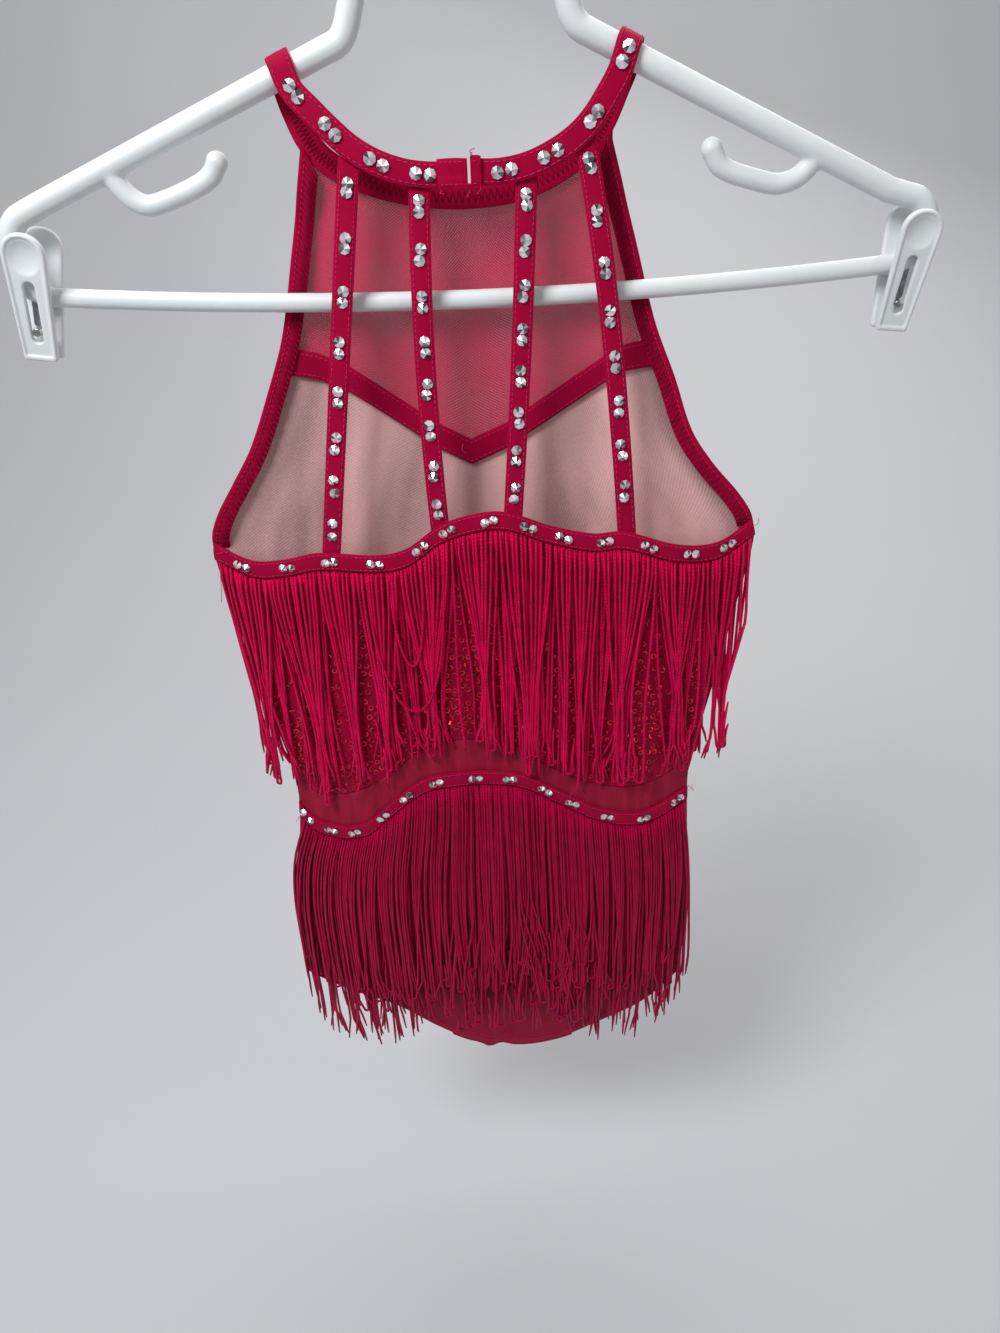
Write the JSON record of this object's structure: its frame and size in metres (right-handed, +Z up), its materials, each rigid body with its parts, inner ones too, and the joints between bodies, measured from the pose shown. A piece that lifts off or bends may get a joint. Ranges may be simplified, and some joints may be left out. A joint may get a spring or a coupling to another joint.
{
  "type": "dance unitard and clip hanger",
  "caption": "Sleeveless halter-neck dance unitard with open strapped back, waved bands and two tiers of fringe, hung on a child's clip hanger.",
  "frame": {"origin": "inside top of the hanger's hook, where it rests on a rail", "axes": "+Z up, +X to the right as seen from the garment's back, the garment's back faces -Y"},
  "size_m": [0.4244, 0.0379, 0.7265],
  "materials": {
    "cloth_red": "matt red stretch cloth, folded and topstitched",
    "net_red": "sheer red stretch net",
    "sequin_cloth": "red net sewn with small red sequins",
    "fringe": "red chainette fringe with a soft sheen",
    "lining": "pale pink-beige stretch lining",
    "white_plastic": "moulded white plastic",
    "steel": "plated steel",
    "stones": "faceted silver-backed stones"
  },
  "bodies": {
    "root": {"armhole_binding_left": "cloth_red", "armhole_binding_right": "cloth_red", "back_band": "cloth_red", "back_bodice": "sequin_cloth", "back_brief": "cloth_red", "back_strap_1": "cloth_red", "back_strap_2": "cloth_red", "back_strap_3": "cloth_red", "back_strap_4": "cloth_red", "back_waist": "net_red", "clip_left_back": "white_plastic", "clip_left_front": "white_plastic", "clip_pin_left": "steel", "clip_pin_right": "steel", "clip_right_back": "white_plastic", "clip_right_front": "white_plastic", "closure_loop": "cloth_red", "closure_tab": "cloth_red", "fringe_lower": "fringe", "fringe_upper": "fringe", "front_bodice": "cloth_red", "front_brief": "cloth_red", "front_lining": "lining", "front_v_band": "cloth_red", "front_yoke": "net_red", "gusset": "cloth_red", "hanger_frame": "white_plastic", "hip_band": "cloth_red", "neckband": "cloth_red"}
  },
  "joints": []
}
